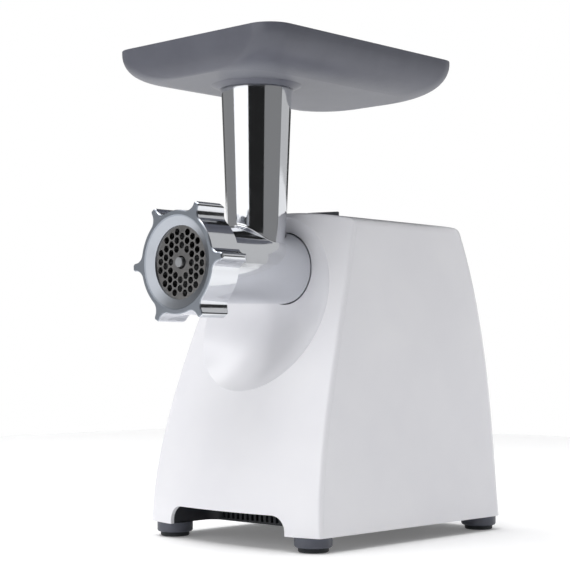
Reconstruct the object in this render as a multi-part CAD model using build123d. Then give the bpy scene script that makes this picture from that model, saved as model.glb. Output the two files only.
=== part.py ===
from build123d import *
import math
import os

# Electric meat grinder. Millimetres, +Z up, the machine faces -Y.
# Origin: floor level, under the middle of the whole object.

# ---------------------------------------------------------------- driving dimensions
HOUSING_BASE_Z = 11.3
CROWN_Z = 257.5
CROWN_RADIUS = 311.0
WALL = 3.0
FRONT_BULGE = 11.5
CREASE_RADIUS = 2.5
REAR_CORNER_RADIUS = 12.0
TOP_EDGE_RADIUS = 7.0
# plan stations of the housing: height, half width, crease y, back y
STATIONS = [
    (HOUSING_BASE_Z, 91.2, -85.8, 144.25),
    (50.0, 89.4, -83.0, 142.0),
    (100.0, 85.7, -72.0, 141.0),
    (150.0, 80.8, -56.0, 139.0),
    (200.0, 74.8, -37.9, 133.4),
    (245.0, 68.9, -22.1, 122.8),
    (264.0, 66.2, -15.6, 116.0),
]
PARTING_DEPTH = 4.0
PARTING_GAP = 0.25

AXIS_Z = 213.5
DISH_Y = -133.75
DISH_RADIUS = 111.4
ARCH_HALF_WIDTH = 61.6
ARCH_TOP_Z = 26.0
ARCH_CORNER = 12.0
GRILLE_Y = -43.75
SLOT_PITCH = 5.4
SLOT_WIDTH = 2.8

FEET = {
    "front_left": (-75.0, -75.25),
    "front_right": (75.0, -75.25),
    "rear_left": (-75.0, 129.75),
    "rear_right": (75.0, 129.75),
}
CUP_RADIUS = 14.3
PAD_RADIUS = 11.5

BARREL_ENTRY_Y = -25.85
BARREL_REAR_Y = -8.0
BARREL_REAR_RADIUS = 28.2
BARREL_FRONT_RADIUS = 30.5
BARREL_BORE = 26.0
COLLAR_RADIUS = 35.0
TUBE_Y = -58.75
TUBE_TOP_Z = 352.5
TUBE_TOP_RADIUS = 27.8
TUBE_TAPER = 0.040
TUBE_BORE = 20.5
THROAT_RADIUS = 21.5
THROAT_TOP_Z = 244.0
SPIGOT_RADIUS = 24.4
SPIGOT_TOP_Z = 358.6

RING_FRONT_Y = -144.25
RING_REAR_Y = -116.45
RING_RADIUS = 39.1
LOBE_RADIUS = 49.0
LOBE_TIP = 3.0
LOBE_TURN = 3.0
MOUTH_RADIUS = 35.6
LIP_RADIUS = 27.8

PLATE_FRONT_Y = -139.05
PLATE_THICKNESS = 5.0
PLATE_RADIUS = 31.0
PLATE_HOLE = 2.7
PLATE_PITCH = 6.5
PLATE_TURN = -3.2
NOSE_RADIUS = 3.7
NOSE_FRONT_Y = -141.75

TRAY_RIM_Z = 384.2
TRAY_HALF_X = 87.5
TRAY_Y = (-133.6, 89.8)
TRAY_DEPTH = 28.0
TRAY_INSET = (45.0, 12.0)
TRAY_CORNERS = (20.0, 36.0)
TRAY_POWER = 2.4
TRAY_WALL = 2.6

MODULES = (0.8, 1.0, 1.25)
PINION_TEETH = 12
WHEEL_TEETH = (66, 54, 44)
SECOND_AXLE_Z = AXIS_Z - MODULES[2] * (PINION_TEETH + WHEEL_TEETH[2]) / 2
FIRST_AXLE_Z = SECOND_AXLE_Z - MODULES[1] * (PINION_TEETH + WHEEL_TEETH[1]) / 2
MOTOR_Z = FIRST_AXLE_Z - MODULES[0] * (PINION_TEETH + WHEEL_TEETH[0]) / 2

BUTTON_Y = (-15.75, 19.25)
BUTTON_HALF_X = 20.0
ROCKER_AT = (35.0, 150.0)
REVERSE_AT = (35.0, 112.0)
SIDE_TILT = 5.6
SEAT = 0.6

BASE = (Align.CENTER, Align.CENTER, Align.MIN)


# ---------------------------------------------------------------- helpers
def facing_back(y, x=0.0, z=AXIS_Z):
    """Plane whose own z runs along +Y."""
    return Plane(origin=(x, y, z), x_dir=(1, 0, 0), z_dir=(0, 1, 0))


def rod(y0, y1, radius, x=0.0, z=AXIS_Z):
    return facing_back(y0, x, z) * Cylinder(radius, y1 - y0, align=BASE)


def tube(y0, y1, outer, inner, x=0.0, z=AXIS_Z):
    return rod(y0, y1, outer, x, z) - rod(y0 - 1, y1 + 1, inner, x, z)


def taper(y0, y1, r0, r1, x=0.0, z=AXIS_Z):
    return facing_back(y0, x, z) * Cone(r0, r1, y1 - y0, align=BASE)


def post(x, y, z0, z1, radius):
    return Pos(x, y, z0) * Cylinder(radius, z1 - z0, align=BASE)


def block(x0, x1, y0, y1, z0, z1):
    middle = Pos((x0 + x1) / 2, (y0 + y1) / 2, (z0 + z1) / 2)
    return middle * Box(abs(x1 - x0), abs(y1 - y0), abs(z1 - z0))


def round_block(x0, x1, y0, y1, z0, z1, radius):
    """Block with its upright edges rounded."""
    face = Pos((x0 + x1) / 2, (y0 + y1) / 2, z0) * RectangleRounded(x1 - x0, y1 - y0, radius)
    return extrude(face, z1 - z0)


def polar(radius, degrees):
    angle = math.radians(degrees)
    return radius * math.cos(angle), radius * math.sin(angle)


def side_plane(y, z, inward=0.0):
    """Plane on the left wall: own z points out, own x along +Y, own y down the wall."""
    tilt = math.radians(SIDE_TILT)
    normal = Vector(-math.cos(tilt), 0, math.sin(tilt))
    half_width = 83.35 - 0.098 * (z - 125.0)
    origin = Vector(-half_width, y, z) - normal * inward
    return Plane(origin=origin, x_dir=(0, 1, 0), z_dir=normal)


# ---------------------------------------------------------------- housing
def housing_section(z, half_width, crease_y, back_y, inset):
    w = half_width - inset
    front = crease_y + inset
    back = back_y - inset
    with BuildSketch(Plane.XY.offset(z)) as section:
        with BuildLine():
            ThreePointArc((-w, front), (0, front - FRONT_BULGE), (w, front))
            Line((w, front), (w, back))
            Line((w, back), (-w, back))
            Line((-w, back), (-w, front))
        make_face()
        fillet(section.vertices().group_by(Axis.Y)[-1], REAR_CORNER_RADIUS - inset)
    return section.sketch


def housing_form(inset, crown_drop):
    sections = [housing_section(*station, inset) for station in STATIONS]
    form = loft(sections)
    crown = rod(-200, 200, CROWN_RADIUS, 0, CROWN_Z - CROWN_RADIUS - crown_drop)
    return form & crown


def front_zone(extra):
    """Everything in front of the parting surface, which runs parallel to the bulged front."""
    sections = []
    reach = 110.0
    for z, half_width, crease_y, _ in STATIONS:
        radius = (half_width ** 2 + FRONT_BULGE ** 2) / (2 * FRONT_BULGE)
        middle = crease_y - FRONT_BULGE + PARTING_DEPTH + extra
        side = middle + radius - math.sqrt(radius ** 2 - reach ** 2)
        with BuildSketch(Plane.XY.offset(z)) as section:
            with BuildLine():
                ThreePointArc((-reach, side), (0, middle), (reach, side))
                Polyline((reach, side), (reach, -200), (-reach, -200), (-reach, side))
            make_face()
        sections.append(section.sketch)
    dish = Pos(0, DISH_Y, AXIS_Z) * Sphere(DISH_RADIUS + WALL + extra)
    return loft(sections) + dish


def outer_housing():
    """Rounded top rim first, then one small radius along the whole front crease."""
    outer = housing_form(0, 0)
    rim = outer.faces().sort_by(Axis.Z)[-1].edges()
    outer = fillet([e for e in rim if e.center().Y > -10], TOP_EDGE_RADIUS)
    crease = [e for e in outer.edges() if e.length > 100 and e.center().Y < -20 and e.center().Z > 20]
    return fillet(crease, CREASE_RADIUS)


def make_housing():
    outer = outer_housing()
    inner = housing_form(WALL, WALL) + extrude(housing_section(*STATIONS[0], WALL), -5)
    centre = Pos(0, DISH_Y, AXIS_Z)
    shell = outer - centre * Sphere(DISH_RADIUS)
    shell = shell - (inner - centre * Sphere(DISH_RADIUS + WALL))
    front = (shell & front_zone(0)) - rod(-60, 0, BARREL_REAR_RADIUS + 0.7)
    rear = shell - front_zone(PARTING_GAP)
    opening = Plane.XZ * Pos(0, ARCH_TOP_Z / 2) * RectangleRounded(
        2 * ARCH_HALF_WIDTH, ARCH_TOP_Z, ARCH_CORNER)
    square = Plane.XZ * Pos(0, ARCH_TOP_Z / 4) * Rectangle(2 * ARCH_HALF_WIDTH, ARCH_TOP_Z / 2)
    return front - extrude(opening + square, 120), rear


def finish_main_housing(rear):
    x, (y0, y1) = BUTTON_HALF_X + 0.4, BUTTON_Y
    rear = rear - round_block(-x, x, y0 - 0.4, y1 + 0.4, 240, 270, 4.4)
    rear = rear - rod(130, 150, 7.0, 0, 35.0)
    rear = rear - rod(142.0, 150, 9.4, 0, 35.0)
    for row in range(7):
        slot = Plane.XZ.offset(-150) * Pos(0, 96 + 7 * row) * SlotOverall(66, 3.2)
        rear = rear - extrude(slot, 20)
    rocker_hole = side_plane(*ROCKER_AT, 6) * extrude(RectangleRounded(21, 31, 4), 12)
    rocker_seat = side_plane(*ROCKER_AT, SEAT) * extrude(RectangleRounded(26.4, 36.4, 5.2), 6)
    reverse_hole = side_plane(*REVERSE_AT, 6) * Cylinder(8.6, 12, align=BASE)
    reverse_seat = side_plane(*REVERSE_AT, SEAT) * Cylinder(11.2, 6, align=BASE)
    return rear - rocker_hole - rocker_seat - reverse_hole - reverse_seat


def base_cover():
    plate = extrude(housing_section(*STATIONS[0], WALL + 0.3), 2.7)
    inside = loft([housing_section(*s, WALL + 0.3) for s in STATIONS[:3]])
    roof_z = ARCH_TOP_Z + 2.0
    pocket = round_block(-66, 66, -150, GRILLE_Y + 2.5, HOUSING_BASE_Z, roof_z + 2.5, 12.5) & inside
    hollow = round_block(-63.5, 63.5, -150, GRILLE_Y, 0, roof_z, 10)
    cover = plate + pocket - hollow
    slots = int(2 * 52 / SLOT_PITCH)
    for i in range(slots + 1):
        x = (i - slots / 2) * SLOT_PITCH
        cover = cover - block(x - SLOT_WIDTH / 2, x + SLOT_WIDTH / 2, GRILLE_Y - 2, GRILLE_Y + 4, 13.0, 26.5)
    for x, y in screw_places():
        cover = cover - post(x, y, 5, 20, 2.1)
    return cover


def screw_places():
    return [(-64, -20), (64, -20), (-64, 108), (64, 108)]


def foot(x, y):
    cup = post(x, y, 3.4, HOUSING_BASE_Z, CUP_RADIUS)
    cup = fillet(cup.edges().group_by(Axis.Z)[0], 2.0) - post(x, y, 0, 6.0, PAD_RADIUS)
    pad = post(x, y, 0, 6.0, PAD_RADIUS)
    pad = chamfer(pad.edges().group_by(Axis.Z)[0], 0.8)
    return cup, pad


def base_screws():
    group = []
    for x, y in screw_places():
        head = post(x, y, HOUSING_BASE_Z - 1.8, HOUSING_BASE_Z, 3.6)
        recess = Pos(x, y, HOUSING_BASE_Z - 2.0) * (Box(3.6, 0.9, 2.2) + Box(0.9, 3.6, 2.2))
        group.append(head + post(x, y, HOUSING_BASE_Z, 24, 1.5) - recess)
    return Compound(children=group)


def cord_inlet():
    return (tube(142.0, 144.25, 9.0, 3.6, 0, 35.0) + tube(135, 143, 6.7, 3.6, 0, 35.0)
            + tube(135, 137.5, 10.0, 3.6, 0, 35.0)) & rod(135, 144.25, 12, 0, 35.0)


# ---------------------------------------------------------------- gears
def gear_face(module, teeth, addendum, turn):
    """Spur gear outline with involute flanks in three straight steps and a little backlash."""
    pitch_r = module * teeth / 2
    base_r = pitch_r * math.cos(math.radians(20))
    root_r = pitch_r - 1.25 * module
    tip_r = pitch_r + addendum * module
    half_tooth = math.pi / (2 * teeth) - 0.045 * module / pitch_r

    def flank_angle(radius):
        if radius <= base_r:
            radius = base_r
        pressure = math.acos(base_r / radius)
        at_pitch = math.tan(math.radians(20)) - math.radians(20)
        return half_tooth + at_pitch - (math.tan(pressure) - pressure)

    start_r = max(base_r, root_r)
    radii = [start_r + (tip_r - start_r) * step / 3 for step in range(4)]
    if root_r < base_r:
        radii = [root_r] + radii
    points = []
    for tooth in range(teeth):
        middle = 2 * math.pi * tooth / teeth + math.radians(turn)
        for radius in radii:
            angle = middle - flank_angle(radius)
            points.append((radius * math.cos(angle), radius * math.sin(angle)))
        for radius in reversed(radii):
            angle = middle + flank_angle(radius)
            points.append((radius * math.cos(angle), radius * math.sin(angle)))
    return make_face(Polyline(*points, close=True))


def gear(module, teeth, addendum, turn, y0, y1, z, bore):
    face = facing_back(y0, 0, z) * gear_face(module, teeth, addendum, turn)
    return extrude(face, y1 - y0) - rod(y0 - 1, y1 + 1, bore, 0, z)


def wheel(stage, turn, y0, y1, z, bore):
    body = gear(MODULES[stage], WHEEL_TEETH[stage], 0.75, turn, y0, y1, z, bore)
    rim = MODULES[stage] * WHEEL_TEETH[stage] / 2 - 4.5
    for y in (y0, y1 - 2.0):
        body = body - tube(y - 0.01, y + 2.01, rim, bore + 5.5, 0, z)
    return body


def gear_train():
    pinion_one = gear(MODULES[0], PINION_TEETH, 1.0, 0, 34.5, 43.5, MOTOR_Z, 3.0)
    wheel_one = wheel(0, 0, 35.0, 43.0, FIRST_AXLE_Z, 3.05)
    pinion_two = gear(MODULES[1], PINION_TEETH, 1.0, 0, 20.5, 35.0, FIRST_AXLE_Z, 3.05)
    wheel_two = wheel(1, 0, 21.0, 32.0, SECOND_AXLE_Z, 4.05)
    pinion_three = gear(MODULES[2], PINION_TEETH, 1.0, 0, 3.5, 21.0, SECOND_AXLE_Z, 4.05)
    wheel_three = wheel(2, 180 / WHEEL_TEETH[2], 4.0, 18.0, AXIS_Z, 8.0)
    return {
        "motor_pinion": pinion_one,
        "first_gear_wheel": wheel_one,
        "first_gear_pinion": pinion_two,
        "second_gear_wheel": wheel_two,
        "second_gear_pinion": pinion_three,
        "output_gear": wheel_three,
    }


# ---------------------------------------------------------------- gear case and outlet
def case_prism(y0, y1, growth):
    """Pear shaped outline round the whole train."""
    circles = [(AXIS_Z, 30.0), (SECOND_AXLE_Z, 30.0), (FIRST_AXLE_Z, 29.0), (MOTOR_Z, 11.0)]
    solid = None
    for z, radius in circles:
        piece = rod(y0, y1, radius + growth, 0, z)
        solid = piece if solid is None else solid + piece
    neck = block(-22 - growth, 22 + growth, y0, y1, FIRST_AXLE_Z, AXIS_Z)
    return solid + neck


def case_screw_places():
    places = []
    for z, radius, angle in ((AXIS_Z, 34.6, 25), (FIRST_AXLE_Z, 33.6, -20), (MOTOR_Z, 15.5, -30)):
        x, up = polar(radius, angle)
        places += [(-x, z + up), (x, z + up)]
    return places


def gear_case():
    body = case_prism(1.0, 48.0, 2.0)
    for x, z in case_screw_places():
        body = body + rod(1.0, 14.0, 4.2, x, z)
    body = body - case_prism(0.0, 45.0, 0.0)
    body = body - rod(40, 50, 11.0) - rod(40, 50, 4.0, 0, SECOND_AXLE_Z)
    body = body - rod(40, 50, 3.0, 0, FIRST_AXLE_Z) - rod(40, 50, 8.2, 0, MOTOR_Z)
    for x, z in case_screw_places():
        body = body - rod(0, 13, 1.4, x, z)
    return body


def gear_case_cover():
    plate = case_prism(-2.0, 1.0, 2.0)
    for x, z in case_screw_places():
        plate = plate + rod(-2.0, 1.0, 4.2, x, z)
        plate = plate - rod(-3, 2, 1.7, x, z)
    plate = plate - rod(-3, 2, 19.0)
    for z, radius in ((SECOND_AXLE_Z, 4.0), (FIRST_AXLE_Z, 3.0)):
        plate = plate + rod(-4.0, -2.0, radius + 2.5, 0, z)
        plate = plate - rod(-2.5, 2, radius, 0, z)
    return plate


def case_screws():
    group = []
    for x, z in case_screw_places():
        head = rod(-4.2, -2.0, 3.2, x, z)
        group.append(head + rod(-2.0, 12.0, 1.4, x, z) - rod(-5, -3.2, 1.3, x, z))
    return Compound(children=group)


def outlet_socket():
    """Bayonet ring that takes the back of the barrel, with a slot for the latch lever."""
    ring = tube(-22.0, -4.6, 36.0, 28.5) - tube(-14.4, -7.0, 32.4, 20)
    for angle in (90, 210, 330):
        ring = ring - lug(angle, -23, -10, 32.4, 14)
    back = tube(-6.8, -4.6, 36.0, 19.5)
    top_flat = block(-7, 7, -23, -1, 247.4, 260)
    return ring + back - top_flat - block(-5.6, 5.6, -14.4, -8, 240, 260)


def lug(centre, y0, y1, radius, half_angle):
    """Sector of a ring about the barrel axis; the angle runs from +X towards +Z."""
    points = [(0, 0)]
    for step in (-1, -0.5, 0, 0.5, 1):
        x, up = polar(60, centre + step * half_angle)
        points.append((x, -up))
    face = make_face(Polyline(*points, close=True))
    sector = extrude(facing_back(y0) * face, y1 - y0)
    return sector & rod(y0, y1, radius)


def bushes():
    front = tube(-4.6, 1.0, 19.0, 16.05)
    rear = tube(45.0, 49.5, 11.0, 6.55)
    return front, rear


def output_shaft():
    shaft = rod(-6.0, 3.6, 16.0) + rod(3.6, 19.5, 8.0) + rod(19.5, 49.0, 6.5)
    socket = extrude(facing_back(-7.0) * RegularPolygon(6.1, 6, major_radius=False), 12)
    return shaft - socket


# ---------------------------------------------------------------- motor
def stator_core():
    face = facing_back(74.0, 0, MOTOR_Z) * RectangleRounded(64, 76, 9)
    core = extrude(face, 30) - rod(70, 110, 20.6, 0, MOTOR_Z)
    for side in (-1, 1):
        for up in (-1, 1):
            z = MOTOR_Z + up * 26.0
            core = core - block(side * 15, side * 24.4, 70, 110, z - 4.6, z + 4.6)
    return core


def field_coils():
    group = []
    for up in (-1, 1):
        z = MOTOR_Z + up * 26.0
        outer = round_block(-24, 24, 65, 113, z - 4.2, z + 4.2, 7)
        inner = block(-15, 15, 73.9, 104.1, z - 6, z + 6)
        group.append(outer - inner)
    return Compound(children=group)


def motor_brackets():
    front = extrude(facing_back(49.6, 0, MOTOR_Z) * RectangleRounded(64, 56, 8), 3)
    front = front + rod(52.6, 55.0, 11.0, 0, MOTOR_Z) - rod(48, 56, 8.0, 0, MOTOR_Z)
    rear = extrude(facing_back(124.0, 0, MOTOR_Z) * RectangleRounded(64, 50, 8), 3)
    rear = rear + rod(127.0, 133.0, 11.0, 0, MOTOR_Z) - rod(120, 134, 8.0, 0, MOTOR_Z)
    for x in (-29.0, 29.0):
        front = front + rod(52.6, 74.0, 3.0, x, MOTOR_Z)
        rear = rear + rod(104.0, 124.0, 3.0, x, MOTOR_Z)
    return front, rear


def motor_bearings():
    front = tube(49.6, 55.0, 8.0, 3.05, 0, MOTOR_Z)
    rear = tube(127.0, 133.0, 8.0, 3.05, 0, MOTOR_Z)
    return Compound(children=[front, rear])


def brush_gear():
    holders, brushes = [], []
    for side in (-1, 1):
        holder = block(side * 13.0, side * 25.0, 111.5, 122.5, MOTOR_Z - 6, MOTOR_Z + 6)
        holder = holder + block(side * 15.0, side * 25.0, 122.5, 124.0, MOTOR_Z - 6, MOTOR_Z + 6)
        channel = block(side * 10.0, side * 24.0, 113.5, 120.5, MOTOR_Z - 3.5, MOTOR_Z + 3.5)
        holders.append(holder - channel)
        brush = block(side * 9.0, side * 22.0, 113.8, 120.2, MOTOR_Z - 3.2, MOTOR_Z + 3.2)
        brushes.append(brush - rod(110, 124, 11.0, 0, MOTOR_Z))
    return Compound(children=holders), Compound(children=brushes)


def armature():
    shaft = rod(33.8, 133.6, 3.0, 0, MOTOR_Z)
    core = tube(74.5, 103.5, 19.9, 3.0, 0, MOTOR_Z)
    for index in range(12):
        x, up = polar(17.5, index * 30)
        slot = rod(74, 104, 1.9, x, MOTOR_Z + up)
        gx, gup = polar(19.5, index * 30)
        core = core - slot - rod(74, 104, 0.9, gx, MOTOR_Z + gup)
    windings = [tube(y0, y1, 18.4, 3.0, 0, MOTOR_Z) for y0, y1 in ((66.5, 74.5), (103.5, 110.5))]
    windings = Compound(children=[fillet(w.edges().filter_by(GeomType.CIRCLE).sort_by(
        lambda e: e.radius)[-2:], 2.4) for w in windings])
    commutator = tube(110.5, 122.0, 10.6, 3.0, 0, MOTOR_Z)
    for index in range(24):
        x, up = polar(10.6, index * 15)
        commutator = commutator - rod(112, 123, 0.35, x, MOTOR_Z + up)
    fan = tube(56.0, 57.6, 24.0, 3.0, 0, MOTOR_Z) + tube(56.0, 64.0, 7.0, 3.0, 0, MOTOR_Z)
    blade = block(8.0, 23.0, 57.0, 64.0, -0.8, 0.8)
    for index in range(9):
        turned = Pos(0, 0, MOTOR_Z) * Rot(0, index * 40, 0) * Rot(0, 25, 0) * blade
        fan = fan + turned
    return {
        "armature_shaft": shaft,
        "armature_core": core,
        "armature_windings": windings,
        "commutator": commutator,
        "cooling_fan": fan & rod(50, 70, 24.0, 0, MOTOR_Z),
    }


def circuit_board():
    board = block(-62.0, -60.4, 60, 112, 40, 84)
    parts = block(-60.4, -46.0, 68, 92, 52, 68) + rod(98, 108, 6.0, -54.0, 66)
    resistors = [block(-60.4, -56.0, 66 + 11 * i, 72 + 11 * i, 74, 79) for i in range(4)]
    for piece in resistors:
        parts = parts + piece
    return board + parts + block(-60.4, -54.0, 98, 108, 64, 68)


# ---------------------------------------------------------------- grinding head
def grinding_head():
    barrel = taper(-121.0, BARREL_ENTRY_Y, BARREL_FRONT_RADIUS, BARREL_REAR_RADIUS)
    barrel = barrel + rod(BARREL_ENTRY_Y, BARREL_REAR_Y, BARREL_REAR_RADIUS)
    barrel_z = AXIS_Z
    base_radius = TUBE_TOP_RADIUS - TUBE_TAPER * (TUBE_TOP_Z - barrel_z)
    riser = Pos(0, TUBE_Y, barrel_z) * Cone(
        base_radius, TUBE_TOP_RADIUS, TUBE_TOP_Z - barrel_z, align=BASE)
    head = barrel + riser
    saddle = [e for e in head.edges() if 225 < e.center().Z < 250 and e.length > 30]
    head = fillet(saddle, 3.5)
    head = head + post(0, TUBE_Y, TUBE_TOP_Z - 1, SPIGOT_TOP_Z, SPIGOT_RADIUS)
    head = head + rod(-138.2, -121.0, COLLAR_RADIUS)
    for angle in (90, 210, 330):
        head = head + (lug(angle, -13.4, -8.6, 31.6, 12) - rod(-30, 0, 27))
    head = head - rod(-139, -11.0, BARREL_BORE) - rod(-12, -7, 10.4)
    head = head - post(0, TUBE_Y, AXIS_Z, THROAT_TOP_Z, THROAT_RADIUS)
    head = head - post(0, TUBE_Y, THROAT_TOP_Z, SPIGOT_TOP_Z + 1, TUBE_BORE)
    return head - rod(-140, PLATE_FRONT_Y + PLATE_THICKNESS + 0.15, PLATE_RADIUS + 0.3) - plate_key()


def plate_key():
    x, up = polar(PLATE_RADIUS + 0.3, 270 + PLATE_TURN)
    return rod(-138.2, PLATE_FRONT_Y + PLATE_THICKNESS + 0.15, 1.6, x, AXIS_Z + up)


def hole_plate():
    plate = rod(PLATE_FRONT_Y, PLATE_FRONT_Y + PLATE_THICKNESS, PLATE_RADIUS)
    holes = []
    for column in range(-4, 5):
        for step in range(-8, 9):
            if (column + step) % 2:
                continue
            u, v = column * 0.8660254, step / 2
            if 1.1 < math.hypot(u, v) < 3.62:
                holes.append((u * PLATE_PITCH, v * PLATE_PITCH))
    face = Sketch() + [Pos(u, v) * Circle(PLATE_HOLE) for u, v in holes]
    face = face + Circle(5.0)
    cut = extrude(facing_back(PLATE_FRONT_Y - 1) * Rot(0, 0, -PLATE_TURN) * face, 8)
    x, up = polar(PLATE_RADIUS + 0.3, 270 + PLATE_TURN)
    return plate - cut - rod(-145, -130, 2.4, x, AXIS_Z + up)


def ring_nut():
    outline = Circle(RING_RADIUS)
    length = LOBE_RADIUS - LOBE_TIP
    for index in range(6):
        lobe = Pos(length / 2) * Rectangle(length, 2 * LOBE_TIP) + Pos(length) * Circle(LOBE_TIP)
        outline = outline + Rot(0, 0, 60 * index - LOBE_TURN) * lobe
    corners = [v for v in outline.vertices() if math.hypot(v.X, v.Y) < RING_RADIUS + 0.1]
    outline = fillet(corners, 8.0)
    ring = extrude(facing_back(RING_FRONT_Y) * outline, RING_REAR_Y - RING_FRONT_Y)
    front = ring.edges().group_by(Axis.Y)[0]
    ring = chamfer(front, 0.8)
    rounder = rod(RING_FRONT_Y - 1, RING_REAR_Y, LOBE_RADIUS)
    rounder = fillet(rounder.edges().group_by(Axis.Y)[-1], 5.0)
    rounder = fillet(rounder.edges().group_by(Axis.Y)[0], 4.0)
    ring = ring & rounder
    ring = ring - taper(RING_FRONT_Y, -140.2, MOUTH_RADIUS, LIP_RADIUS)
    ring = ring - rod(-145, -138, LIP_RADIUS)
    return ring - rod(PLATE_FRONT_Y - 0.1, RING_REAR_Y + 1, COLLAR_RADIUS + 0.35)


def tray_section(part, wall):
    """Outline of the tray at a part of its depth, wall inside the outer face."""
    across = 1 - (1 - part ** TRAY_POWER) ** (1 / TRAY_POWER)
    half_x = TRAY_HALF_X - TRAY_INSET[0] * across - wall
    half_y = (TRAY_Y[1] - TRAY_Y[0]) / 2 - TRAY_INSET[1] * across - wall
    corner = TRAY_CORNERS[0] + (TRAY_CORNERS[1] - TRAY_CORNERS[0]) * across - wall
    shape = RectangleRounded(2 * half_x, 2 * half_y, corner)
    return Pos(0, sum(TRAY_Y) / 2, TRAY_RIM_Z - TRAY_DEPTH * part) * shape


def feed_tray():
    parts = (0, 0.35, 0.6, 0.78, 0.9, 0.965, 0.992)
    outer = loft([tray_section(part, 0) for part in parts])
    hollow = loft([Pos(0, 0, TRAY_WALL) * tray_section(part, TRAY_WALL) for part in parts])
    hollow = hollow + extrude(Pos(0, 0, TRAY_WALL) * tray_section(0, TRAY_WALL), 5)
    floor_z = TRAY_RIM_Z - TRAY_DEPTH * parts[-1]
    collar = post(0, TUBE_Y, TUBE_TOP_Z + 0.3, floor_z + 1, 28.8)
    collar = collar + Pos(0, TUBE_Y, floor_z - 3.2) * Cone(28.8, 38.0, 4.2, align=BASE)
    tray = outer + collar - hollow
    return tray - post(0, TUBE_Y, TUBE_TOP_Z - 1, floor_z + 6, SPIGOT_RADIUS + 0.4)


# ---------------------------------------------------------------- rotating set in the head
def scroll():
    front, back = -127.3, -17.0
    core = taper(front, back, 9.0, 12.5)
    pitch = 26.0
    turns_length = back - front - 4
    spine = Helix(pitch=pitch, height=turns_length, radius=14.0)
    start = Plane(origin=spine @ 0, x_dir=(1, 0, 0), z_dir=spine % 0)
    profile = start * Pos(2.7, 0) * Rectangle(16.8, 3.4)
    flight = sweep(profile, path=spine, is_frenet=True)
    flight = facing_back(front + 2) * flight
    body = core + (flight & rod(front, back, 25.2))
    body = body + rod(back, -11.4, 12.0)
    square = extrude(facing_back(-133.85) * Rectangle(9, 9), 7)
    return body + square + rod(NOSE_FRONT_Y, -133.8, NOSE_RADIUS)


def drive_spigot():
    journal = rod(-11.4, -6.1, 10.0)
    return journal + extrude(facing_back(-6.1) * RegularPolygon(6.0, 6, major_radius=False), 10)


def cutter_knife():
    blade = Pos(12.0, 0) * Rectangle(24, 9)
    outline = Circle(11.0)
    for index in range(4):
        outline = outline + Rot(0, 0, 90 * index) * blade
    knife = extrude(facing_back(-133.7) * outline, 6.2) & rod(-134, -127, 24.0)
    for index in range(4):
        wedge = Rot(0, 90 * index, 0) * block(11.5, 25, -131.5, -127, -5, 0.5)
        knife = knife - Pos(0, 0, AXIS_Z) * wedge
    return knife - extrude(facing_back(-135) * Rectangle(9.05, 9.05), 9)


# ---------------------------------------------------------------- controls
def release_button():
    x, (y0, y1) = BUTTON_HALF_X, BUTTON_Y
    button = round_block(-x, x, y0, y1, 252.6, 268, 4.0)
    slope = math.degrees(math.atan2(3.5, y1 - y0))
    top = Pos(0, (y0 + y1) / 2, 259.7) * Rot(slope, 0, 0) * Box(80, 80, 20, align=BASE)
    button = button - top
    rim = [e for e in button.edges() if e.center().Z > 256]
    button = fillet(rim, 1.0) - block(-9.2, 9.2, y0 + 2, 10, 250, 256.4)
    for y in (y0 - 2.0, y1 - 1.0):
        button = button + block(-8, 8, y, y + 3.0, 252.6, 253.9)
    return button


def latch_parts():
    pivot_z = 250.2
    lever = block(-5, 5, -13.6, 16.0, 249.2, 251.2) + block(-4, 4, -13.2, -9.2, 246.0, 250)
    lever = lever + facing_side(0, pivot_z, -5, 5, 2.2) - facing_side(0, pivot_z, -6, 6, 1.2)
    pin = facing_side(0, pivot_z, -8.8, 8.8, 1.15)
    bracket = block(-17, 17, 6, 9, 245.9, 246.3)
    for side in (-1, 1):
        bracket = bracket + block(side * 6, side * 8.8, -2.5, 2.5, 245.9, 252.2)
        bracket = bracket + block(side * 6, side * 17, -2.5, 9, 245.9, 247.4)
    return lever, pin, bracket - pin


def facing_side(y, z, x0, x1, radius):
    plane = Plane(origin=(x0, y, z), x_dir=(0, 1, 0), z_dir=(1, 0, 0))
    return plane * Cylinder(radius, x1 - x0, align=BASE)


def button_springs():
    group = []
    for x in (-12.5, 12.5):
        spine = Helix(pitch=1.3, height=4.2, radius=2.6)
        wire = Plane(origin=spine @ 0, z_dir=spine % 0) * Circle(0.3)
        coil = sweep(wire, path=spine, is_frenet=True)
        group.append(Pos(x, 3.5, 247.9) * coil)
    return Compound(children=group)


def rocker_switch():
    place = side_plane(*ROCKER_AT)
    frame_face = RectangleRounded(26, 36, 5) - Rectangle(16.6, 27.4)
    bezel = place * Pos(0, 0, -SEAT) * extrude(frame_face, 1.4 + SEAT)
    sleeve = RectangleRounded(20.4, 30.4, 3.8) - Rectangle(16.6, 27.4)
    bezel = bezel + place * Pos(0, 0, -9) * extrude(sleeve, 9 - SEAT)
    body = place * Pos(0, 0, -24) * extrude(RectangleRounded(19, 29, 2), 14.5)
    for y in (-8, 0, 8):
        body = body + place * Pos(0, y, -31) * Box(4.8, 0.8, 7, align=BASE)
    swing = Plane(origin=place.origin - place.z_dir * 3.0, x_dir=place.y_dir, z_dir=place.x_dir)
    outline = Circle(13.2) & (Pos(0, 2.4) * Rectangle(30, 9.6))
    peak = make_face(Polyline((-14, 7.2), (0, 5.4), (14, 7.2), (14, 12), (-14, 12), close=True))
    rocker = extrude(swing * Rot(0, 0, -7) * (outline - peak), 7.9, both=True)
    return bezel, body, rocker


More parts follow.
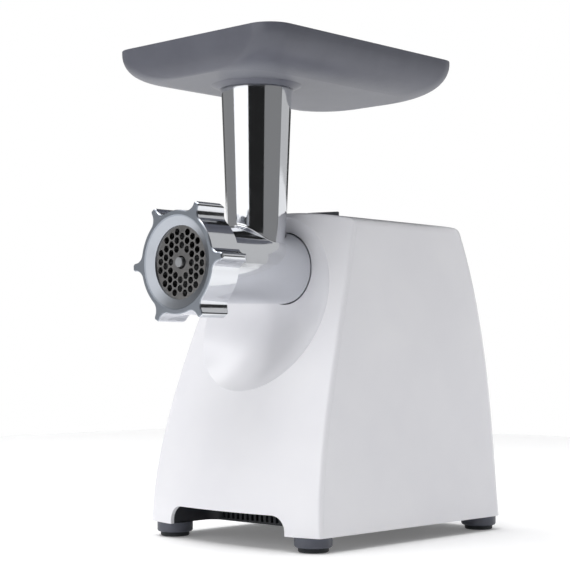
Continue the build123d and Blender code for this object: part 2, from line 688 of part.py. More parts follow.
def reverse_switch():
    place = side_plane(*REVERSE_AT)
    ring = Circle(11.0) - Circle(8.1)
    bezel = place * Pos(0, 0, -SEAT) * extrude(ring, 1.2 + SEAT)
    bezel = bezel + place * Pos(0, 0, -5) * extrude(Circle(8.5) - Circle(8.1), 5 - SEAT)
    cap = place * Pos(0, 0, -4.6) * Cylinder(7.7, 7.8, align=BASE)
    cap = fillet(cap.edges().group_by(Axis.X)[0], 0.8)
    body = place * Pos(0, 0, -20) * extrude(Rectangle(14, 12), 11.8)
    return bezel, body, cap


# ---------------------------------------------------------------- assembly
def build_nodes():
    nodes = {}
    front, rear = make_housing()
    nodes["front_cover"] = front
    nodes["main_housing"] = finish_main_housing(rear)
    nodes["base_cover"] = base_cover()
    for name, (x, y) in FEET.items():
        nodes[f"foot_cup_{name}"], nodes[f"foot_pad_{name}"] = foot(x, y)
    nodes["base_screws"] = base_screws()
    nodes["cord_inlet"] = cord_inlet()
    nodes["gear_case"] = gear_case()
    nodes["gear_case_cover"] = gear_case_cover()
    nodes["gear_case_screws"] = case_screws()
    nodes["outlet_socket"] = outlet_socket()
    nodes["output_front_bush"], nodes["output_rear_bush"] = bushes()
    nodes["first_gear_axle"] = rod(-2.5, 48.0, 3.0, 0, FIRST_AXLE_Z)
    nodes["second_gear_axle"] = rod(-2.5, 48.0, 4.0, 0, SECOND_AXLE_Z)
    nodes["output_shaft"] = output_shaft()
    nodes.update(gear_train())
    nodes["stator_core"] = stator_core()
    nodes["field_coils"] = field_coils()
    nodes["motor_front_bracket"], nodes["motor_rear_bracket"] = motor_brackets()
    nodes["motor_bearings"] = motor_bearings()
    nodes["brush_holders"], nodes["carbon_brushes"] = brush_gear()
    nodes.update(armature())
    nodes["circuit_board"] = circuit_board()
    nodes["grinding_head"] = grinding_head()
    nodes["plate_key"] = plate_key()
    nodes["hole_plate"] = hole_plate()
    nodes["ring_nut"] = ring_nut()
    nodes["feed_tray"] = feed_tray()
    nodes["scroll"] = scroll()
    nodes["drive_spigot"] = drive_spigot()
    nodes["cutter_knife"] = cutter_knife()
    nodes["release_button"] = release_button()
    nodes["latch_lever"], nodes["latch_pin"], nodes["latch_bracket"] = latch_parts()
    nodes["button_springs"] = button_springs()
    nodes["rocker_bezel"], nodes["rocker_switch_body"], nodes["power_rocker"] = rocker_switch()
    nodes["reverse_bezel"], nodes["reverse_switch_body"], nodes["reverse_button"] = reverse_switch()
    return nodes


def main():
    os.makedirs("parts", exist_ok=True)
    for name, shape in build_nodes().items():
        export_step(shape, f"parts/{name}.step")
        print(name)


if __name__ == "__main__":
    main()
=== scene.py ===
"""Electric meat grinder: finishes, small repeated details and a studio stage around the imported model."""
import math

import bmesh
import bpy
from mathutils import Matrix, Vector


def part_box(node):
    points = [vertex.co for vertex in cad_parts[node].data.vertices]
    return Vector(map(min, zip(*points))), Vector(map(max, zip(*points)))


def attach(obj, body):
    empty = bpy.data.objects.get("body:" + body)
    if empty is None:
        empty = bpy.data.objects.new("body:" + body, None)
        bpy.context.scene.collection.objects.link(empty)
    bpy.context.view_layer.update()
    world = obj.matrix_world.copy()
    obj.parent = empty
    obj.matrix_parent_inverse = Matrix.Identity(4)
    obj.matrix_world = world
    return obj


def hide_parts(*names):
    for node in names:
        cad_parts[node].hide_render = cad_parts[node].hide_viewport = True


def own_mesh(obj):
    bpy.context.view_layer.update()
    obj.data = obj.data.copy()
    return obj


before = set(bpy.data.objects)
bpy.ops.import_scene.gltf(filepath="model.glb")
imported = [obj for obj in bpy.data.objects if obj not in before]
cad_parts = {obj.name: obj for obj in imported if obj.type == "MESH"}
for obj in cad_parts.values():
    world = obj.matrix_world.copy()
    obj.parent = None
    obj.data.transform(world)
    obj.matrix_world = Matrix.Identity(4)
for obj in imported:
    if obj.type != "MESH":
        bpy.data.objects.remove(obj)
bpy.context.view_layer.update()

bl_info = {
    "name": "Meat Grinder Finishes",
    "version": (1, 0, 0),
    "blender": (4, 5, 0),
    "location": "View3D > Sidebar > Grinder",
    "description": "Finishes and details of an electric meat grinder",
    "category": "Object",
}

MM = 0.001
# holes of the plate: spacing, radius, degrees that the pattern is turned by, and the least and greatest
# distance of a hole from the middle in pitches
PLATE_PITCH = 6.5 * MM
HOLE_RADIUS = 2.7 * MM
PLATE_TURN = 3.2
HOLE_FIELD = (1.1, 3.62)
RIM_PROUD = 0.03 * MM
# satin front of the ring: it fades out over this depth and over this radius inside the mouth
SATIN_DEPTH = (0.55 * MM, 0.75 * MM)
SATIN_RADIUS = (35.0 * MM, 35.5 * MM)
SATIN_ROUGHNESS = 0.36
# base screws in millimetres: radius and height of the head, radius and length of the shank
SCREW = (3.6, 1.8, 1.5, 12.0)
SPRING_WIRE = 0.3 * MM
SPRING_TURNS = 3
FLOOR_HALF = 1.4
FLOOR_DROP = 0.2 * MM
FLOOR_GLOW = 0.14
TOP_LIGHT_SIZE = 1.6
TOP_LIGHT_PLACE = (-0.3, -0.4, 2.2)
SENSOR_WIDTH = 36.0
TENT_RADIUS = 2.2
TENT_STEP = 5
# panels of the tent: degrees to the right of the camera, from and to, lower and upper edge, brightness
TENT = (
    (-180, -140, 0.45, 2.4, 0.12),
    (-140, -78, 0.0, 2.4, 0.28),
    (-78, -27, 0.0, 1.9, 1.40),
    (-27, 26, 0.0, 1.9, 0.02),
    (26, 86, 0.0, 1.9, 0.26),
    (86, 92, 0.0, 1.9, 0.03),
    (-78, 92, 1.9, 2.6, 0.02),
    (92, 142, 0.45, 2.4, 0.60),
    (142, 180, 0.45, 2.4, 0.05),
)
RING_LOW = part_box("ring_nut")[0]
PLATE_LOW, PLATE_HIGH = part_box("hole_plate")
# the middle of the plate is on the axis of the barrel, the scroll and the drive
AXIS_Z = (PLATE_LOW.z + PLATE_HIGH.z) / 2


# ---------------------------------------------------------------- node helpers
def colour(code):
    """sRGB hex to linear RGBA."""
    channels = [int(code[i:i + 2], 16) / 255 for i in (1, 3, 5)]
    linear = [c / 12.92 if c <= 0.04045 else ((c + 0.055) / 1.055) ** 2.4 for c in channels]
    return (*linear, 1.0)


def add(tree, kind, inputs=None, **settings):
    """A node with its settings; an input is a value, or a socket to link from."""
    node = tree.nodes.new(kind)
    for key, value in settings.items():
        setattr(node, key, value)
    for key, value in (inputs or {}).items():
        socket = node.inputs[key]
        if isinstance(value, bpy.types.NodeSocket):
            tree.links.new(value, socket)
        else:
            socket.default_value = value
    return node


def start_material(name, **shader):
    """An empty material with a Principled shader, object coordinates in metres and an output."""
    material = bpy.data.materials.new(name)
    material.use_nodes = True
    tree = material.node_tree
    tree.nodes.clear()
    bsdf = add(tree, "ShaderNodeBsdfPrincipled", {k.replace("_", " "): v for k, v in shader.items()})
    add(tree, "ShaderNodeOutputMaterial", {"Surface": bsdf.outputs["BSDF"]})
    place = add(tree, "ShaderNodeTexCoord").outputs["Object"]
    return material, tree, bsdf, place


def noise(tree, place, size_mm, detail=3.0, roughness=0.5):
    """Noise whose features are about size_mm across."""
    node = add(tree, "ShaderNodeTexNoise", {
        "Vector": place, "Scale": 1.0 / (size_mm * MM), "Detail": detail, "Roughness": roughness})
    return node.outputs["Fac"]


def between(tree, factor, low, high, near=0.3, far=0.7):
    """Factor stretched from near..far to the numbers low..high."""
    return add(tree, "ShaderNodeMapRange", {
        "Value": factor, "From Min": near, "From Max": far, "To Min": low, "To Max": high,
    }).outputs["Result"]


def blend_colours(tree, factor, first, second):
    """Colour that goes from the first to the second as the factor goes from 0 to 1."""
    node = add(tree, "ShaderNodeMix", data_type="RGBA")
    tree.links.new(factor, node.inputs["Factor"])
    node.inputs[6].default_value = colour(first)
    node.inputs[7].default_value = colour(second)
    return node.outputs[2]


def relief(tree, bsdf, height, depth_mm, under=None):
    """Bump whose full height stands for depth_mm."""
    inputs = {"Height": height, "Distance": depth_mm * MM, "Strength": 1.0}
    if under is not None:
        inputs["Normal"] = under
    bump = add(tree, "ShaderNodeBump", inputs)
    tree.links.new(bump.outputs["Normal"], bsdf.inputs["Normal"])
    return bump.outputs["Normal"]


# ---------------------------------------------------------------- finishes
def glossy_abs(name, light, dark, size_mm=60.0):
    """Injection moulded ABS from a polished tool: bright soft highlights, a faint orange peel."""
    material, tree, bsdf, place = start_material(name, IOR=1.54)
    broad = noise(tree, place, size_mm, 2.0)
    tree.links.new(blend_colours(tree, between(tree, broad, 0, 1), dark, light), bsdf.inputs["Base Color"])
    tree.links.new(between(tree, noise(tree, place, 40.0), 0.24, 0.27), bsdf.inputs["Roughness"])
    relief(tree, bsdf, noise(tree, place, 2.2, 1.0), 0.0012)
    return material


def textured_plastic(name, light, dark, grain_mm=0.45, depth_mm=0.02, rough=(0.42, 0.56)):
    """Moulded in a spark eroded tool: a fine even grain that breaks up the highlight."""
    material, tree, bsdf, place = start_material(name, IOR=1.49)
    broad = noise(tree, place, 25.0, 3.0)
    tree.links.new(blend_colours(tree, between(tree, broad, 0, 1), dark, light), bsdf.inputs["Base Color"])
    grain = noise(tree, place, grain_mm, 2.0, 0.6)
    tree.links.new(between(tree, grain, *rough), bsdf.inputs["Roughness"])
    relief(tree, bsdf, grain, depth_mm)
    return material


def polished_metal(name, tint, rough=(0.045, 0.11), satin=None):
    """Cast aluminium, buffed to a mirror: a trace of cast grain and buffing haze stays in it."""
    material, tree, bsdf, place = start_material(name, Metallic=1.0)
    bsdf.inputs["Base Color"].default_value = colour(tint)
    haze = noise(tree, place, 7.0, 4.0)
    fine = noise(tree, place, 0.7, 2.0)
    roughness = between(tree, haze, *rough)
    under = relief(tree, bsdf, noise(tree, place, 6.0, 1.0), 0.010)
    relief(tree, bsdf, fine, 0.0022, under)
    if satin is not None:
        # the front annulus and the mouth inside it are left satin, as turned
        depth = add(tree, "ShaderNodeSeparateXYZ", {"Vector": place}).outputs["Y"]
        front = between(tree, depth, 1.0, 0.0, RING_LOW.y + SATIN_DEPTH[0], RING_LOW.y + SATIN_DEPTH[1])
        inner = between(tree, axis_radius(tree, place), 0.75, 0.0, *SATIN_RADIUS)
        mask = add(tree, "ShaderNodeMath", {0: front, 1: inner}, operation="MAXIMUM").outputs[0]
        tree.links.new(blend_colours(tree, mask, tint, satin), bsdf.inputs["Base Color"])
        mixed = add(tree, "ShaderNodeMix", {"Factor": mask}, data_type="FLOAT")
        tree.links.new(roughness, mixed.inputs[2])
        mixed.inputs[3].default_value = SATIN_ROUGHNESS
        tree.links.new(mixed.outputs[0], bsdf.inputs["Roughness"])
    else:
        tree.links.new(roughness, bsdf.inputs["Roughness"])
    return material


def axis_radius(tree, place):
    """Distance from the barrel's axis."""
    centred = add(tree, "ShaderNodeMapping", {
        "Vector": place, "Location": (0, 0, -AXIS_Z), "Scale": (1, 0, 1)}).outputs["Vector"]
    return add(tree, "ShaderNodeVectorMath", {0: centred}, operation="LENGTH").outputs["Value"]


def turned_steel(name, tint, dark, ring_mm=0.35, rough=(0.25, 0.42)):
    """Metal turned about the barrel axis: fine rings ring_mm across catch the light."""
    material, tree, bsdf, place = start_material(name, Metallic=1.0)
    spread = add(tree, "ShaderNodeCombineXYZ", {"X": axis_radius(tree, place)}).outputs["Vector"]
    rings = noise(tree, spread, ring_mm, 3.0, 0.7)
    stain = noise(tree, place, 8.0, 4.0)
    tree.links.new(blend_colours(tree, between(tree, stain, 0, 1), dark, tint), bsdf.inputs["Base Color"])
    tree.links.new(between(tree, rings, *rough), bsdf.inputs["Roughness"])
    relief(tree, bsdf, rings, 0.006)
    return material


def ground_steel(name, tint, rough=(0.18, 0.34), grain_mm=0.3):
    """Ground or plated steel: bright, with fine marks along the part."""
    material, tree, bsdf, place = start_material(name, Metallic=1.0)
    bsdf.inputs["Base Color"].default_value = colour(tint)
    stretched = add(tree, "ShaderNodeMapping", {"Vector": place, "Scale": (1, 0.15, 1)}).outputs["Vector"]
    marks = noise(tree, stretched, grain_mm, 3.0)
    tree.links.new(between(tree, marks, *rough), bsdf.inputs["Roughness"])
    relief(tree, bsdf, marks, 0.003)
    return material


def soft_rubber(name, light, dark):
    """Moulded nitrile rubber or pressed carbon: nearly black, dull, with dust in its grain."""
    material, tree, bsdf, place = start_material(name, IOR=1.5, Sheen_Weight=0.15, Sheen_Roughness=0.5)
    dust = noise(tree, place, 2.5, 5.0)
    tree.links.new(blend_colours(tree, between(tree, dust, 0, 1), dark, light), bsdf.inputs["Base Color"])
    grain = noise(tree, place, 0.35)
    tree.links.new(between(tree, grain, 0.62, 0.82), bsdf.inputs["Roughness"])
    relief(tree, bsdf, grain, 0.02)
    return material


def banded(name, light, dark, pitch_mm, metallic, rough, axis=(0, 1, 0)):
    """Stacked sheets or wound wire: lines one pitch apart along the given axis."""
    material, tree, bsdf, place = start_material(name, Metallic=metallic)
    along = add(tree, "ShaderNodeVectorMath", {0: place, 1: axis}, operation="DOT_PRODUCT").outputs["Value"]
    angle = add(tree, "ShaderNodeMath", {0: along, 1: 2 * math.pi / (pitch_mm * MM)}, operation="MULTIPLY")
    wave = add(tree, "ShaderNodeMath", {0: angle.outputs[0]}, operation="SINE").outputs[0]
    lines = between(tree, wave, 0, 1, -1, 1)
    tree.links.new(blend_colours(tree, lines, dark, light), bsdf.inputs["Base Color"])
    haze = between(tree, noise(tree, place, 1.5), rough - 0.06, rough + 0.08)
    tree.links.new(haze, bsdf.inputs["Roughness"])
    relief(tree, bsdf, lines, 0.08)
    return material


def finish_nodes(material, *names):
    """Puts the material in the slots of CAD nodes, whose meshes stay as they are."""
    for name in names:
        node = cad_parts[name]
        if not node.material_slots:
            node.data.materials.append(material)
        for item in node.material_slots:
            item.material = material


# ---------------------------------------------------------------- mesh helpers
def mesh_object(name, bm, material):
    """A linked object from the mesh, with doubles merged and faces turned outwards."""
    bmesh.ops.remove_doubles(bm, verts=bm.verts, dist=1e-7)
    bmesh.ops.recalc_face_normals(bm, faces=bm.faces)
    mesh = bpy.data.meshes.new(name)
    bm.to_mesh(mesh)
    bm.free()
    mesh.materials.append(material)
    piece = bpy.data.objects.new(name, mesh)
    bpy.context.scene.collection.objects.link(piece)
    return piece


def repeat_on_points(name, points, template, material, turn=(0.0, 0.0, 0.0), scale=1.0):
    """Copies the template to each point with a node tree, and returns one plain mesh."""
    mesh = bpy.data.meshes.new(name)
    mesh.from_pydata([tuple(p) for p in points], [], [])
    carrier = bpy.data.objects.new(name + "_points", mesh)
    bpy.context.scene.collection.objects.link(carrier)
    tree = bpy.data.node_groups.new(name + "_tree", "GeometryNodeTree")
    face = tree.interface
    face.new_socket("Geometry", in_out="INPUT", socket_type="NodeSocketGeometry")
    for label, kind in (("Template", "NodeSocketObject"), ("Turn", "NodeSocketVector"),
                        ("Size", "NodeSocketFloat"), ("Finish", "NodeSocketMaterial")):
        face.new_socket(label, in_out="INPUT", socket_type=kind)
    face.new_socket("Geometry", in_out="OUTPUT", socket_type="NodeSocketGeometry")
    source = add(tree, "NodeGroupInput").outputs
    shape = add(tree, "GeometryNodeObjectInfo", {"Object": source["Template"]}).outputs["Geometry"]
    dots = add(tree, "GeometryNodeMeshToPoints", {"Mesh": source["Geometry"]}).outputs["Points"]
    turned = add(tree, "FunctionNodeEulerToRotation", {"Euler": source["Turn"]}).outputs["Rotation"]
    copies = add(tree, "GeometryNodeInstanceOnPoints", {
        "Points": dots, "Instance": shape, "Rotation": turned, "Scale": source["Size"]}).outputs["Instances"]
    real = add(tree, "GeometryNodeRealizeInstances", {"Geometry": copies}).outputs["Geometry"]
    painted = add(tree, "GeometryNodeSetMaterial", {"Geometry": real, "Material": source["Finish"]})
    add(tree, "NodeGroupOutput", {"Geometry": painted.outputs["Geometry"]})
    modifier = carrier.modifiers.new("Repeat", "NODES")
    modifier.node_group = tree
    values = {"Template": template, "Turn": turn, "Size": scale, "Finish": material}
    for item in face.items_tree:
        if item.in_out == "INPUT" and item.name in values:
            modifier[item.identifier] = values[item.name]
    bpy.context.view_layer.update()
    graph = bpy.context.evaluated_depsgraph_get()
    result = bpy.data.meshes.new_from_object(carrier.evaluated_get(graph), depsgraph=graph)
    result.name = name
    carrier.modifiers.remove(modifier)
    bpy.data.objects.remove(carrier)
    bpy.data.objects.remove(template)
    piece = bpy.data.objects.new(name, result)
    bpy.context.scene.collection.objects.link(piece)
    return piece


def smooth(piece, angle=35.0):
    """Smooth shading that stays sharp across edges over the angle, in degrees."""
    piece.data.shade_smooth()
    piece.data.set_sharp_from_angle(angle=math.radians(angle))
    return piece


def lathe(name, profile, steps, material):
    """Closed ring or solid turned about local Z from (radius, height) points."""
    bm = bmesh.new()
    rings = []
    for radius, height in profile:
        count = 1 if radius == 0 else steps
        angles = [2 * math.pi * i / steps for i in range(count)]
        rings.append([bm.verts.new((radius * math.cos(t), radius * math.sin(t), height)) for t in angles])
    for first, second in zip(rings, rings[1:]):
        for i in range(steps):
            corners = [first[i % len(first)], first[(i + 1) % len(first)],
                       second[(i + 1) % len(second)], second[i % len(second)]]
            unique = list(dict.fromkeys(corners))
            if len(unique) > 2:
                bm.faces.new(unique)
    return mesh_object(name, bm, material)


def coil_spring(name, radius, wire, height, turns, material):
    """Round wire wound up local Z, closed at both ends."""
    bm = bmesh.new()
    steps, sides = 28 * turns, 10
    rings = []
    for step in range(steps + 1):
        angle = 2 * math.pi * turns * step / steps
        outward = Vector((math.cos(angle), math.sin(angle), 0))
        centre = radius * outward + Vector((0, 0, height * step / steps))
        ring = [bm.verts.new(centre + wire * (math.cos(t) * outward + math.sin(t) * Vector((0, 0, 1))))
                for t in (2 * math.pi * side / sides for side in range(sides))]
        rings.append(ring)
    for first, second in zip(rings, rings[1:]):
        for side in range(sides):
            after = (side + 1) % sides
            bm.faces.new((first[side], first[after], second[after], second[side]))
    bm.faces.new(rings[0])
    bm.faces.new(rings[-1])
    return mesh_object(name, bm, material)


def pan_head_screw(name, head_mm, height_mm, shank_mm, length_mm, material):
    """Pan head with a round recess, head up; the underside of the head is at local zero."""
    r, h, s, d = head_mm * MM, height_mm * MM, shank_mm * MM, length_mm * MM
    profile = [(0, h * 0.45), (r * 0.2, h * 0.45), (r * 0.2, h), (r * 0.55, h * 0.97), (r * 0.85, h * 0.78),
               (r, h * 0.35), (r, 0), (s, 0), (s, -d + s), (0, -d)]
    return lathe(name, profile, 20, material)


# ---------------------------------------------------------------- settings
class GrinderShellSettings(bpy.types.PropertyGroup):
    light: bpy.props.StringProperty(
        name="Shell light", description="Lightest shell colour, hex", default="#F4F4F8")
    dark: bpy.props.StringProperty(
        name="Shell dark", description="Darkest shell colour, hex", default="#EFEFF4")


class GrinderHeadSettings(bpy.types.PropertyGroup):
    metal: bpy.props.StringProperty(name="Metal", description="Polished metal tint, hex", default="#DDDFE3")
    satin: bpy.props.StringProperty(
        name="Satin", description="Satin front of the ring, hex", default="#989EA7")
    # the rim round each hole is real geometry; its lighter steel is a painted highlight
    rim_width: bpy.props.FloatProperty(
        name="Hole rim", description="Width of the burnished rim round each plate hole", default=0.32 * MM,
        min=0.1 * MM, max=1 * MM, unit="LENGTH", subtype="DISTANCE")


class GrinderStageSettings(bpy.types.PropertyGroup):
    lens: bpy.props.FloatProperty(
        name="Lens", description="Focal length in millimetres", default=94.8, min=10)
    pan: bpy.props.FloatProperty(
        name="Pan", description="Direction the camera faces, from the back of the object",
        default=math.radians(43.308), subtype="ANGLE", unit="ROTATION")
    tilt: bpy.props.FloatProperty(
        name="Tilt", description="How far the camera looks up", default=math.radians(2.696),
        subtype="ANGLE", unit="ROTATION")
    eye: bpy.props.FloatVectorProperty(
        name="Eye", description="Where the camera stands", default=(0.8224, -0.89855, 0.144),
        subtype="XYZ", unit="LENGTH")
    top_power: bpy.props.FloatProperty(
        name="Top light", description="Power of the light over the tent, in watts", default=31.0, min=0,
        unit="POWER")


# ---------------------------------------------------------------- pieces
class GRINDER_OT_shells(bpy.types.Operator):
    """White outer shells and the cord inlet"""
    bl_idname = "grinder.shells"
    bl_label = "Shells"

    def execute(self, context):
        settings = context.scene.grinder_shell
        white = glossy_abs("white_glossy_abs", settings.light, settings.dark)
        finish_nodes(white, "front_cover", "main_housing")
        finish_nodes(textured_plastic("dark_textured_abs", "#3A3C43", "#303238"), "cord_inlet")
        return {"FINISHED"}


class GRINDER_OT_base(bpy.types.Operator):
    """Dark base with its cooling slats, screws and feet"""
    bl_idname = "grinder.base"
    bl_label = "Base and feet"

    def execute(self, context):
        dark = textured_plastic("dark_base_abs", "#34363C", "#2A2C31")
        finish_nodes(dark, "base_cover")
        sides = ("front_left", "front_right", "rear_left", "rear_right")
        cup = textured_plastic("grey_foot_abs", "#535661", "#474A54", rough=(0.35, 0.48))
        finish_nodes(cup, *[f"foot_cup_{s}" for s in sides])
        pad = soft_rubber("black_foot_rubber", "#22272C", "#15191D")
        finish_nodes(pad, *[f"foot_pad_{s}" for s in sides])
        self.base_screws()
        return {"FINISHED"}

    def base_screws(self):
        low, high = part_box("base_screws")
        zinc = ground_steel("zinc_plated_steel", "#A9ABA8")
        radius, height = SCREW[0] * MM, SCREW[1] * MM
        points = [(x, y, low.z + height) for x in (low.x + radius, high.x - radius)
                  for y in (low.y + radius, high.y - radius)]
        template = pan_head_screw("base_screw", *SCREW, zinc)
        screws = smooth(repeat_on_points("base_screws_detailed", points, template, zinc, (math.pi, 0, 0)))
        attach(screws, "power_unit")
        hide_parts("base_screws")


class GRINDER_OT_head(bpy.types.Operator):
    """Polished head casting, ring nut, hole plate, scroll and knife"""
    bl_idname = "grinder.head"
    bl_label = "Grinding head"

    def execute(self, context):
        settings = context.scene.grinder_head
        finish_nodes(polished_metal("polished_cast_aluminium", settings.metal), "grinding_head")
        ring = polished_metal("polished_ring_aluminium", settings.metal, satin=settings.satin)
        finish_nodes(ring, "ring_nut")
        plate = turned_steel("turned_plate_steel", "#8E8D8D", "#7F7E7E")
        finish_nodes(plate, "hole_plate")
        tumbled = turned_steel("tumbled_scroll_aluminium", "#B5B7BA", "#A2A4A8", 1.2, (0.3, 0.5))
        finish_nodes(tumbled, "scroll")
        finish_nodes(ground_steel("ground_knife_steel", "#A9ACB0"), "cutter_knife", "plate_key")
        finish_nodes(textured_plastic("black_drive_nylon", "#2C2E32", "#222428"), "drive_spigot")
        self.hole_rims(settings.rim_width)
        return {"FINISHED"}

    def hole_rims(self, width):
        """Rims round the plate's holes, just proud of its front; their steel, lighter than the plate's, is a
        painted highlight for the light the hole chamfers catch.
        """
        # lighter steel than the plate: a painted highlight round each hole, on a real raised rim
        bright = ground_steel("rim_highlight_steel", "#A9A8A7")
        turn = math.radians(PLATE_TURN)
        points = []
        for column in range(-4, 5):
            for step in range(-8 + column % 2, 9, 2):
                u, v = column * math.sqrt(0.75) * PLATE_PITCH, step / 2 * PLATE_PITCH
                if HOLE_FIELD[0] * PLATE_PITCH < math.hypot(u, v) < HOLE_FIELD[1] * PLATE_PITCH:
                    x = u * math.cos(turn) - v * math.sin(turn)
                    up = u * math.sin(turn) + v * math.cos(turn)
                    points.append((x, PLATE_LOW.y, AXIS_Z - up))
        inner, outer, proud = HOLE_RADIUS, HOLE_RADIUS + width, RIM_PROUD
        profile = [(inner, -proud), (inner, proud / 2), (inner + width / 3, proud), (outer, proud / 3),
                   (outer, -proud), (inner, -proud)]
        template = lathe("hole_rim", profile, 32, bright)
        rims = repeat_on_points("plate_hole_rims", points, template, bright, (math.pi / 2, 0, 0))
        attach(smooth(rims), "screen")


class GRINDER_OT_tray(bpy.types.Operator):
    """Satin grey feed tray"""
    bl_idname = "grinder.tray"
    bl_label = "Feed tray"

    def execute(self, context):
        finish_nodes(textured_plastic("grey_tray_polypropylene", "#5F616B", "#595B65", 0.5, 0.012,
                                      (0.34, 0.46)), "feed_tray")
        return {"FINISHED"}


class GRINDER_OT_controls(bpy.types.Operator):
    """Release button with its latch, power rocker and reverse button"""
    bl_idname = "grinder.controls"
    bl_label = "Controls"

    def execute(self, context):
        grey = textured_plastic("grey_button_abs", "#4B4E57", "#41444C", rough=(0.35, 0.5))
        finish_nodes(grey, "release_button", "rocker_bezel", "reverse_bezel")
        black = glossy_abs("black_glossy_nylon", "#24262A", "#1C1E21")
        finish_nodes(black, "power_rocker", "reverse_button")
        nylon = textured_plastic("black_latch_nylon", "#2C2E32", "#222428")
        finish_nodes(nylon, "latch_lever", "rocker_switch_body", "reverse_switch_body")
        steel = ground_steel("bright_spring_steel", "#B3B6BA")
        finish_nodes(steel, "latch_pin", "latch_bracket", "button_springs")
        self.springs(steel)
        return {"FINISHED"}

    def springs(self, steel):
        """Two coil springs under the button."""
        low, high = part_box("button_springs")
        wire = SPRING_WIRE
        coil_radius = (high.y - low.y) / 2 - wire
        height = high.z - low.z - 2 * wire
        reach = high.x - coil_radius - wire
        middle = (low.y + high.y) / 2
        template = coil_spring("button_spring", coil_radius, wire, height, SPRING_TURNS, steel)
        points = [(x, middle, low.z + wire) for x in (-reach, reach)]
        springs = smooth(repeat_on_points("button_springs_detailed", points, template, steel))
        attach(springs, "power_unit")
        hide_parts("button_springs")
        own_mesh(springs)


class GRINDER_OT_drive(bpy.types.Operator):
    """Gear case, gears, shafts and the motor"""
    bl_idname = "grinder.drive"
    bl_label = "Drive"

    def execute(self, context):
        nylon = textured_plastic("glass_filled_nylon", "#303237", "#25272B", 0.8, 0.03)
        finish_nodes(nylon, "gear_case", "gear_case_cover", "outlet_socket", "motor_front_bracket",
                     "motor_rear_bracket", "brush_holders", "cooling_fan")
        acetal = glossy_abs("natural_acetal", "#E8E5DC", "#DEDACF", 15.0)
        finish_nodes(acetal, "first_gear_wheel", "second_gear_wheel", "output_gear")
        steel = ground_steel("ground_gear_steel", "#B2B5B9")
        finish_nodes(steel, "first_gear_axle", "second_gear_axle", "output_shaft", "motor_pinion",
                     "first_gear_pinion", "second_gear_pinion", "armature_shaft", "motor_bearings",
                     "gear_case_screws")
        finish_nodes(turned_steel("sintered_bronze", "#A0783E", "#7E5B2C", 0.5, (0.35, 0.5)),
                     "output_front_bush", "output_rear_bush")
        finish_nodes(banded("stacked_lamination_steel", "#6A6D70", "#3E4043", 1.0, 1.0, 0.4),
                     "stator_core", "armature_core")
        finish_nodes(banded("enamelled_copper_wire", "#B4663A", "#6E3218", 0.9, 0.9, 0.3, (0.7, 0, 0.7)),
                     "field_coils", "armature_windings")
        finish_nodes(ground_steel("commutator_copper", "#B87048"), "commutator")
        finish_nodes(soft_rubber("pressed_carbon", "#2A2A2A", "#1B1B1B"), "carbon_brushes")
        finish_nodes(glossy_abs("green_board_laminate", "#2F6240", "#23502F", 6.0), "circuit_board")
        return {"FINISHED"}


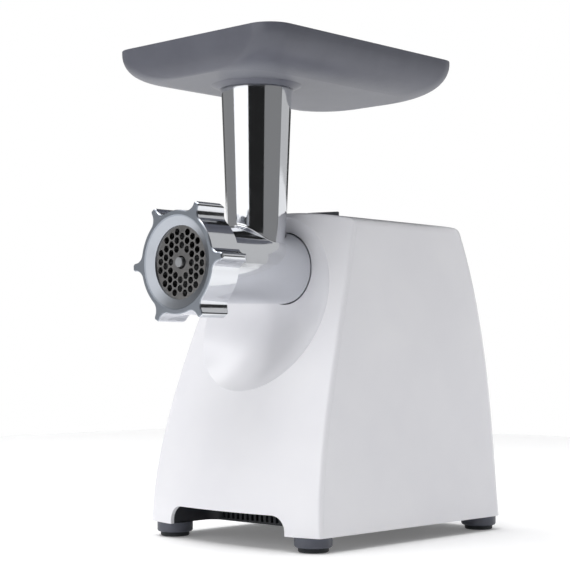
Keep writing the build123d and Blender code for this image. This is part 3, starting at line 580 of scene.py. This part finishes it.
class GRINDER_OT_stage(bpy.types.Operator):
    """White floor, a striped light tent and the camera"""
    bl_idname = "grinder.stage"
    bl_label = "Stage"

    def execute(self, context):
        settings = context.scene.grinder_stage
        self.floor()
        self.world(context.scene)
        facing = math.degrees(settings.pan) - 90
        for index, (start, end, bottom, top, strength) in enumerate(TENT):
            self.tent_panel(f"tent_panel_{index}", facing + start, facing + end, bottom, top, strength)
        self.top_light(settings.top_power)
        camera = bpy.data.objects.new("camera", bpy.data.cameras.new("camera"))
        context.scene.collection.objects.link(camera)
        camera.location = settings.eye
        camera.rotation_euler = (math.pi / 2 + settings.tilt, 0, settings.pan)
        camera.data.sensor_width = SENSOR_WIDTH
        camera.data.lens = settings.lens
        camera.data.clip_start = 0.01
        context.scene.camera = camera
        context.scene.view_settings.view_transform = "Standard"
        return {"FINISHED"}

    def floor(self):
        bm = bmesh.new()
        bmesh.ops.create_grid(bm, x_segments=1, y_segments=1, size=FLOOR_HALF)
        material, tree, bsdf, place = start_material("white_paper", Roughness=0.9, IOR=1.3)
        bsdf.inputs["Emission Color"].default_value = colour("#FFFFFF")
        bsdf.inputs["Emission Strength"].default_value = FLOOR_GLOW
        paper = noise(tree, place, 40.0)
        tint = blend_colours(tree, between(tree, paper, 0, 1), "#FBFBFC", "#FEFEFE")
        tree.links.new(tint, bsdf.inputs["Base Color"])
        floor = mesh_object("floor", bm, material)
        floor.data.transform(Matrix.Translation((0, 0, -FLOOR_DROP)))

    def world(self, scene):
        world = bpy.data.worlds.new("white_studio")
        world.use_nodes = True
        scene.world = world
        background = world.node_tree.nodes["Background"]
        background.inputs["Color"].default_value = colour("#FFFFFF")
        background.inputs["Strength"].default_value = 1.0

    def tent_panel(self, name, start, end, bottom, top, strength):
        """Upright curved panel of the tent, seen by surfaces but not by the camera."""
        bm = bmesh.new()
        steps = max(2, round((end - start) / TENT_STEP))
        columns = []
        for step in range(steps + 1):
            angle = math.radians(start + (end - start) * step / steps)
            x, y = TENT_RADIUS * math.cos(angle), TENT_RADIUS * math.sin(angle)
            columns.append((bm.verts.new((x, y, bottom)), bm.verts.new((x, y, top))))
        for (a, b), (c, d) in zip(columns, columns[1:]):
            bm.faces.new((c, a, b, d))
        material = bpy.data.materials.new(name + "_cloth")
        material.use_nodes = True
        tree = material.node_tree
        tree.nodes.clear()
        glow = add(tree, "ShaderNodeEmission", {"Color": colour("#FFFFFF"), "Strength": strength})
        add(tree, "ShaderNodeOutputMaterial", {"Surface": glow.outputs["Emission"]})
        panel = mesh_object(name, bm, material)
        panel.visible_camera = False

    def top_light(self, watts):
        light = bpy.data.lights.new("top_softbox", "AREA")
        light.size = TOP_LIGHT_SIZE
        light.energy = watts
        lamp = bpy.data.objects.new("top_softbox", light)
        bpy.context.scene.collection.objects.link(lamp)
        lamp.location = TOP_LIGHT_PLACE


class GRINDER_PT_panel(bpy.types.Panel):
    """Lists the pieces"""
    bl_idname = "GRINDER_PT_panel"
    bl_label = "Meat grinder"
    bl_space_type = "VIEW_3D"
    bl_region_type = "UI"
    bl_category = "Grinder"

    def draw(self, context):
        for group in (context.scene.grinder_shell, context.scene.grinder_head, context.scene.grinder_stage):
            for key in group.__annotations__:
                self.layout.prop(group, key)
        for operator in OPERATORS:
            self.layout.operator(operator.bl_idname)


SETTINGS = {
    "grinder_shell": GrinderShellSettings,
    "grinder_head": GrinderHeadSettings,
    "grinder_stage": GrinderStageSettings,
}
OPERATORS = (GRINDER_OT_shells, GRINDER_OT_base, GRINDER_OT_head, GRINDER_OT_tray, GRINDER_OT_controls,
             GRINDER_OT_drive, GRINDER_OT_stage)


def register():
    for cls in (*SETTINGS.values(), *OPERATORS, GRINDER_PT_panel):
        bpy.utils.register_class(cls)
    for name, cls in SETTINGS.items():
        setattr(bpy.types.Scene, name, bpy.props.PointerProperty(type=cls))


def unregister():
    for name in SETTINGS:
        delattr(bpy.types.Scene, name)
    for cls in reversed((*SETTINGS.values(), *OPERATORS, GRINDER_PT_panel)):
        bpy.utils.unregister_class(cls)


def main():
    register()
    bpy.ops.grinder.shells()
    bpy.ops.grinder.base()
    bpy.ops.grinder.head()
    bpy.ops.grinder.tray()
    bpy.ops.grinder.controls()
    bpy.ops.grinder.drive()
    bpy.ops.grinder.stage()


if __name__ == "__main__":
    main()
